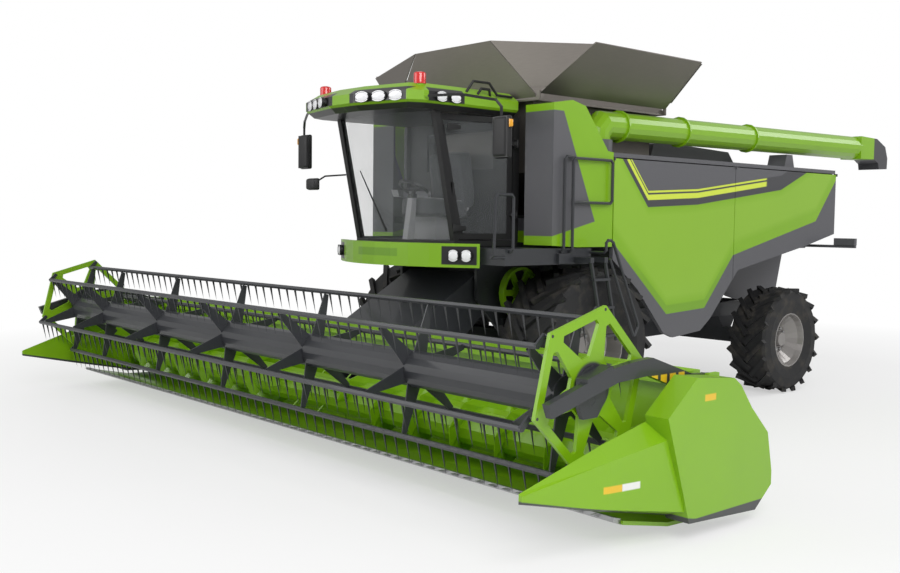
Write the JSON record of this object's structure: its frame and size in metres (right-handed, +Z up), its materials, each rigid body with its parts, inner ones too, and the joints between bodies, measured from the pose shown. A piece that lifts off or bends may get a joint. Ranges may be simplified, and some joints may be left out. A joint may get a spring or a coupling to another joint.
{
  "type": "combine harvester",
  "caption": "Self-propelled combine harvester with cab, open grain tank, folded unloading tube, wide grain header, feeding auger, pick-up reel and steered rear wheels.",
  "frame": {"origin": "centre of the bounding box on the ground plane, midway between the sides", "axes": "+X forwards to the header, +Y to the machine's left, +Z up"},
  "size_m": [11.52, 9.9, 4.4085],
  "materials": {
    "lime": "gloss paint",
    "charcoal": "satin paint",
    "dark": "satin paint",
    "steel": "brushed",
    "bin": "satin paint",
    "silver": "satin paint",
    "black": "matte",
    "tyre": "matte",
    "glass": "clear",
    "iron": "painted"
  },
  "bodies": {
    "chassis": {"main_frame": "dark", "front_axle": "iron", "rear_axle": "iron", "threshing_body": "dark", "engine": "iron", "engine_hood": "lime", "rear_hood": "lime", "front_panels": "charcoal", "grain_tank": "bin", "cab_shell": "dark", "cab_glass": "glass", "cab_roof": "lime", "bumper": "lime", "cab_interior": "black", "platform": "dark", "handrails": "dark"},
    "header": {"feeder_house": "dark", "header_frame": "lime", "header_floor": "lime", "cutterbar": "steel", "end_shields": "lime"},
    "header_auger": {"header_auger": "lime"},
    "reel_arms": {"reel_arms": "dark"},
    "reel_bearings": {"reel_bearings": "dark"},
    "reel": {"reel_rotor": "dark"},
    "reel_end_plates": {"reel_end_plates": "lime"},
    "lift_barrels": {"lift_barrels": "dark"},
    "lift_rods": {"lift_rods": "steel"},
    "drive_pulley": {"drive_pulley": "lime"},
    "unloader": {"unloader_tube": "lime"},
    "cab_door": {"cab_door": "dark", "cab_door_glass": "glass"},
    "left_side_flap": {"left_tank_flap": "bin"},
    "right_side_flap": {"right_tank_flap": "bin"},
    "front_flap": {"front_tank_flap": "bin"},
    "rear_flap": {"rear_tank_flap": "bin"},
    "tine_bar_1": {"tine_bar_1": "dark"},
    "tine_bar_2": {"tine_bar_2": "dark"},
    "tine_bar_3": {"tine_bar_3": "dark"},
    "tine_bar_4": {"tine_bar_4": "dark"},
    "tine_bar_5": {"tine_bar_5": "dark"},
    "tine_bar_6": {"tine_bar_6": "dark"},
    "left_front_wheel": {"left_front_tyre": "tyre", "left_front_rim": "silver"},
    "left_rear_wheel": {"left_rear_tyre": "tyre", "left_rear_rim": "silver"},
    "left_knuckle": {"left_knuckle": "iron"},
    "left_front_panel": {"left_front_panel": "lime"},
    "left_front_wing": {"left_front_tank_wing": "bin"},
    "left_rear_panel": {"left_rear_panel": "lime"},
    "left_rear_wing": {"left_rear_tank_wing": "bin"},
    "right_front_wheel": {"right_front_tyre": "tyre", "right_front_rim": "silver"},
    "right_rear_wheel": {"right_rear_tyre": "tyre", "right_rear_rim": "silver"},
    "right_knuckle": {"right_knuckle": "iron"},
    "right_front_panel": {"right_front_panel": "lime"},
    "right_front_wing": {"right_front_tank_wing": "bin"},
    "right_rear_panel": {"right_rear_panel": "lime"},
    "right_rear_wing": {"right_rear_tank_wing": "bin"}
  },
  "joints": [
    {"name": "left_front_wheel_spin", "type": "hinge", "parent": "chassis", "child": "left_front_wheel", "pos_m": [1.5, 1.35, 0.92], "axis": [0, 1, 0], "continuous": true},
    {"name": "right_front_wheel_spin", "type": "hinge", "parent": "chassis", "child": "right_front_wheel", "pos_m": [1.5, -1.35, 0.92], "axis": [0, 1, 0], "continuous": true},
    {"name": "left_steer", "type": "hinge", "parent": "chassis", "child": "left_knuckle", "pos_m": [-2.5, 1.13, 0.735], "axis": [0, 0, 1], "range_deg": [-35, 35]},
    {"name": "left_rear_wheel_spin", "type": "hinge", "parent": "left_knuckle", "child": "left_rear_wheel", "pos_m": [-2.5, 1.53, 0.735], "axis": [0, 1, 0], "continuous": true},
    {"name": "right_steer", "type": "hinge", "parent": "chassis", "child": "right_knuckle", "pos_m": [-2.5, -1.13, 0.735], "axis": [0, 0, 1], "range_deg": [-35, 35]},
    {"name": "right_rear_wheel_spin", "type": "hinge", "parent": "right_knuckle", "child": "right_rear_wheel", "pos_m": [-2.5, -1.53, 0.735], "axis": [0, 1, 0], "continuous": true},
    {"name": "header_lift", "type": "hinge", "parent": "chassis", "child": "header", "pos_m": [2.3, 0, 1.6], "axis": [0, -1, 0], "range_deg": [-1.5, 28]},
    {"name": "lift_barrel_tilt", "type": "hinge", "parent": "chassis", "child": "lift_barrels", "pos_m": [1.83, 0, 0.78], "axis": [0, -1, 0], "range_deg": [-3, 22]},
    {"name": "lift_rod_slide", "type": "slide", "parent": "lift_barrels", "child": "lift_rods", "axis": [0.9784, 0, -0.2068], "range_m": [-0.042, 0.435]},
    {"name": "header_auger_spin", "type": "hinge", "parent": "header", "child": "header_auger", "pos_m": [4.08, 0, 0.45], "axis": [0, 1, 0], "continuous": true},
    {"name": "reel_lift", "type": "hinge", "parent": "header", "child": "reel_arms", "pos_m": [3.7, 0, 1.115], "axis": [0, -1, 0], "range_deg": [0, 25]},
    {"name": "reel_slide", "type": "slide", "parent": "reel_arms", "child": "reel_bearings", "axis": [0.963, 0, -0.2696], "range_m": [0, 0.38]},
    {"name": "reel_spin", "type": "hinge", "parent": "reel_bearings", "child": "reel", "pos_m": [5.02, 0, 1.09], "axis": [0, 1, 0], "continuous": true},
    {"name": "tine_bar_1_turn", "type": "hinge", "parent": "reel", "child": "tine_bar_1", "pos_m": [5.57176, 0, 0.93178], "axis": [0, 1, 0], "continuous": true},
    {"name": "tine_bar_2_turn", "type": "hinge", "parent": "reel", "child": "tine_bar_2", "pos_m": [5.4329, 0, 1.48873], "axis": [0, 1, 0], "continuous": true},
    {"name": "tine_bar_3_turn", "type": "hinge", "parent": "reel", "child": "tine_bar_3", "pos_m": [4.88114, 0, 1.64695], "axis": [0, 1, 0], "continuous": true},
    {"name": "tine_bar_4_turn", "type": "hinge", "parent": "reel", "child": "tine_bar_4", "pos_m": [4.46824, 0, 1.24822], "axis": [0, 1, 0], "continuous": true},
    {"name": "tine_bar_5_turn", "type": "hinge", "parent": "reel", "child": "tine_bar_5", "pos_m": [4.6071, 0, 0.69127], "axis": [0, 1, 0], "continuous": true},
    {"name": "tine_bar_6_turn", "type": "hinge", "parent": "reel", "child": "tine_bar_6", "pos_m": [5.15886, 0, 0.53305], "axis": [0, 1, 0], "continuous": true},
    {"name": "reel_end_plates_spin", "type": "hinge", "parent": "reel_bearings", "child": "reel_end_plates", "pos_m": [4.947, 0, 1.16], "axis": [0, 1, 0], "continuous": true},
    {"name": "drive_pulley_spin", "type": "hinge", "parent": "chassis", "child": "drive_pulley", "pos_m": [1.92, 0.84, 1.51], "axis": [0, 1, 0], "continuous": true},
    {"name": "unloader_swing", "type": "hinge", "parent": "chassis", "child": "unloader", "pos_m": [1.2, 1.34, 3.3], "axis": [0, 0, -1], "range_deg": [0, 95]},
    {"name": "cab_door_swing", "type": "hinge", "parent": "chassis", "child": "cab_door", "pos_m": [2.19, 1.035, 2.8], "axis": [0, 0, 1], "range_deg": [0, 85]},
    {"name": "left_front_panel_lift", "type": "hinge", "parent": "chassis", "child": "left_front_panel", "pos_m": [0, 1.62, 3.085], "axis": [1, 0, 0], "range_deg": [0, 75]},
    {"name": "left_rear_panel_lift", "type": "hinge", "parent": "chassis", "child": "left_rear_panel", "pos_m": [-2.6, 1.62, 3.085], "axis": [1, 0, 0], "range_deg": [0, 75]},
    {"name": "right_front_panel_lift", "type": "hinge", "parent": "chassis", "child": "right_front_panel", "pos_m": [0, -1.62, 3.085], "axis": [-1, 0, 0], "range_deg": [0, 75]},
    {"name": "right_rear_panel_lift", "type": "hinge", "parent": "chassis", "child": "right_rear_panel", "pos_m": [-2.6, -1.62, 3.085], "axis": [-1, 0, 0], "range_deg": [0, 75]},
    {"name": "left_side_flap_fold", "type": "hinge", "parent": "chassis", "child": "left_side_flap", "pos_m": [0.96, 1.29, 3.795], "axis": [1, 0, 0], "range_deg": [0, 143]},
    {"name": "right_side_flap_fold", "type": "hinge", "parent": "chassis", "child": "right_side_flap", "pos_m": [0.96, -1.29, 3.795], "axis": [-1, 0, 0], "range_deg": [0, 143]},
    {"name": "front_flap_fold", "type": "hinge", "parent": "chassis", "child": "front_flap", "pos_m": [2.1, 0, 3.75], "axis": [0, -1, 0], "range_deg": [0, 105]},
    {"name": "rear_flap_fold", "type": "hinge", "parent": "chassis", "child": "rear_flap", "pos_m": [-0.18, 0, 3.75], "axis": [0, 1, 0], "range_deg": [0, 105]},
    {"name": "left_front_wing_fold", "type": "hinge", "parent": "left_side_flap", "child": "left_front_wing", "pos_m": [2.09916, 1.39507, 3.84666], "axis": [-0.2114, 0.7805, 0.5884], "range_deg": [0, 262]},
    {"name": "right_front_wing_fold", "type": "hinge", "parent": "right_side_flap", "child": "right_front_wing", "pos_m": [2.09916, -1.39507, 3.84666], "axis": [0.2114, 0.7805, -0.5884], "range_deg": [0, 262]},
    {"name": "left_rear_wing_fold", "type": "hinge", "parent": "left_side_flap", "child": "left_rear_wing", "pos_m": [-0.17916, 1.39507, 3.84666], "axis": [-0.2114, -0.7805, -0.5884], "range_deg": [0, 262]},
    {"name": "right_rear_wing_fold", "type": "hinge", "parent": "right_side_flap", "child": "right_rear_wing", "pos_m": [-0.17916, -1.39507, 3.84666], "axis": [0.2114, -0.7805, 0.5884], "range_deg": [0, 262]}
  ],
  "couplings": [
    {"joint": "right_steer", "follows": "left_steer", "ratio": 1},
    {"joint": "lift_barrel_tilt", "follows": "header_lift", "ratio": 0.715},
    {"joint": "lift_rod_slide", "follows": "header_lift", "m_per_rad": 0.8493},
    {"joint": "tine_bar_1_turn", "follows": "reel_spin", "ratio": -1},
    {"joint": "tine_bar_2_turn", "follows": "reel_spin", "ratio": -1},
    {"joint": "tine_bar_3_turn", "follows": "reel_spin", "ratio": -1},
    {"joint": "tine_bar_4_turn", "follows": "reel_spin", "ratio": -1},
    {"joint": "tine_bar_5_turn", "follows": "reel_spin", "ratio": -1},
    {"joint": "tine_bar_6_turn", "follows": "reel_spin", "ratio": -1},
    {"joint": "reel_end_plates_spin", "follows": "reel_spin", "ratio": 1},
    {"joint": "left_front_wing_fold", "follows": "left_side_flap_fold", "ratio": 1.8241},
    {"joint": "right_front_wing_fold", "follows": "right_side_flap_fold", "ratio": 1.8241},
    {"joint": "left_rear_wing_fold", "follows": "left_side_flap_fold", "ratio": 1.8241},
    {"joint": "right_rear_wing_fold", "follows": "right_side_flap_fold", "ratio": 1.8241}
  ]
}
